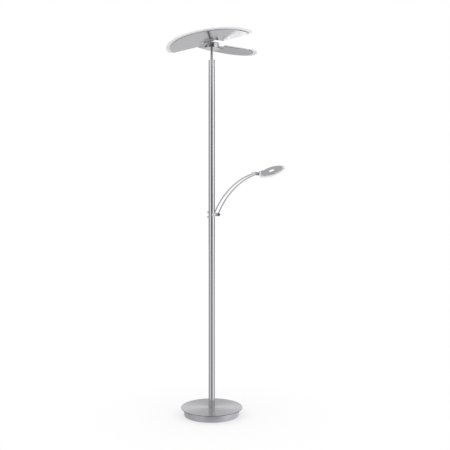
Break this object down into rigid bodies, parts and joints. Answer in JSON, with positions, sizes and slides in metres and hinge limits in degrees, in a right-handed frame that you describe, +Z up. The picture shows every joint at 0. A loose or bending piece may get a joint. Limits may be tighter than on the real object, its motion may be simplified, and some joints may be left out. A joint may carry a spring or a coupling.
{
  "type": "torchiere floor lamp with reading light",
  "caption": "Floor lamp on a round weighted base, with tilting half-round uplight wings on a slim pole and a small round reading light on a curved jointed arm.",
  "frame": {"origin": "centre of the base's underside, on the floor under the pole's axis", "axes": "+Z up along the pole, +X to the right of the front view, -Y towards the viewer of the front view"},
  "size_m": [0.5228, 0.4637, 1.742],
  "materials": {
    "brushed_nickel": "circular brushed",
    "polished_nickel": "polished",
    "bright_ring": "bright",
    "satin_aluminium": "satin",
    "satin_acrylic": "satin, light-diffusing",
    "cast_iron": "as cast, painted",
    "sheet_steel": "plain sheet",
    "plated_steel": "zinc plated",
    "black_plastic": "fine grain",
    "white_plastic": "plain",
    "white_board": "solder mask",
    "led": "moulded lens",
    "black_foam": "closed-cell foam"
  },
  "bodies": {
    "stand": {"base_top_plate": "brushed_nickel", "base_shell": "brushed_nickel", "base_weight": "cast_iron", "base_bottom_cover": "sheet_steel", "base_cover_screws": "plated_steel", "base_foot_pad": "black_foam", "led_driver": "white_plastic", "cable_inlet": "black_plastic", "base_stud_tube": "plated_steel", "base_clamp_nut": "plated_steel", "pole_foot_plug": "plated_steel", "lower_pole": "polished_nickel", "pole_coupling": "bright_ring", "upper_pole": "polished_nickel", "pole_top_cap": "polished_nickel", "rod_clamp_screw": "plated_steel", "neck_rod": "polished_nickel", "neck_rod_nut": "plated_steel", "hub_drum": "polished_nickel", "hub_lid": "polished_nickel", "hub_lid_screws": "plated_steel", "terminal_block": "white_plastic", "wing_hinge_pins": "plated_steel", "wing_friction_washers": "black_plastic", "wing_spring_washers": "plated_steel", "arm_bracket": "polished_nickel", "arm_stud_nut": "plated_steel", "arm_insulators": "black_plastic", "dimmer_bodies": "black_plastic"},
    "near_wing": {"near_wing_bracket": "polished_nickel", "near_wing_pan": "satin_aluminium", "near_wing_panel": "satin_acrylic", "near_wing_board": "white_board", "near_wing_leds": "led", "near_wing_screws": "plated_steel"},
    "far_wing": {"far_wing_bracket": "polished_nickel", "far_wing_pan": "satin_aluminium", "far_wing_panel": "satin_acrylic", "far_wing_board": "white_board", "far_wing_leds": "led", "far_wing_screws": "plated_steel"},
    "reading_arm": {"arm_pivot_pin": "plated_steel", "arm_knuckles": "polished_nickel", "arm_end_caps": "polished_nickel", "arm_rods": "polished_nickel", "elbow_barrel": "polished_nickel", "elbow_insulators": "black_plastic", "elbow_pin": "plated_steel"},
    "head_turn": {"head_turning_cap": "polished_nickel", "head_stem": "polished_nickel"},
    "reading_head": {"head_swivel_boss": "polished_nickel", "reading_cover": "satin_aluminium", "reading_panel": "satin_acrylic", "reading_board": "white_board", "reading_leds": "led"},
    "main_dimmer": {"main_dimmer_shaft": "plated_steel", "main_dimmer_knob": "satin_aluminium"},
    "reading_dimmer": {"reading_dimmer_shaft": "plated_steel", "reading_dimmer_knob": "satin_aluminium"}
  },
  "joints": [
    {"name": "near_wing_tilt", "type": "hinge", "parent": "stand", "child": "near_wing", "pos_m": [0, 0, 1.6795], "axis": [0.342, 0.9397, 0], "range_deg": [-37, 53]},
    {"name": "far_wing_tilt", "type": "hinge", "parent": "stand", "child": "far_wing", "pos_m": [0, 0, 1.6795], "axis": [0.342, 0.9397, 0], "range_deg": [-58.2, 31.8]},
    {"name": "arm_lift", "type": "hinge", "parent": "stand", "child": "reading_arm", "pos_m": [0.02006, -0.01807, 0.912], "axis": [0.6691, 0.7431, 0], "range_deg": [-35, 60]},
    {"name": "elbow_turn", "type": "hinge", "parent": "reading_arm", "child": "head_turn", "pos_m": [0.19248, -0.1733, 1.0875], "axis": [0.6691, 0.7431, 0], "range_deg": [-60, 75]},
    {"name": "head_roll", "type": "hinge", "parent": "head_turn", "child": "reading_head", "pos_m": [0.25872, -0.20509, 1.0985], "axis": [0.7431, -0.6691, 0], "range_deg": [-118, 62]},
    {"name": "main_dimmer_spin", "type": "hinge", "parent": "stand", "child": "main_dimmer", "pos_m": [0, 0, 0.9225], "axis": [-1, 0, 0], "range_deg": [-140, 140]},
    {"name": "reading_dimmer_spin", "type": "hinge", "parent": "stand", "child": "reading_dimmer", "pos_m": [0, 0, 0.901], "axis": [-1, 0, 0], "range_deg": [-140, 140]}
  ]
}
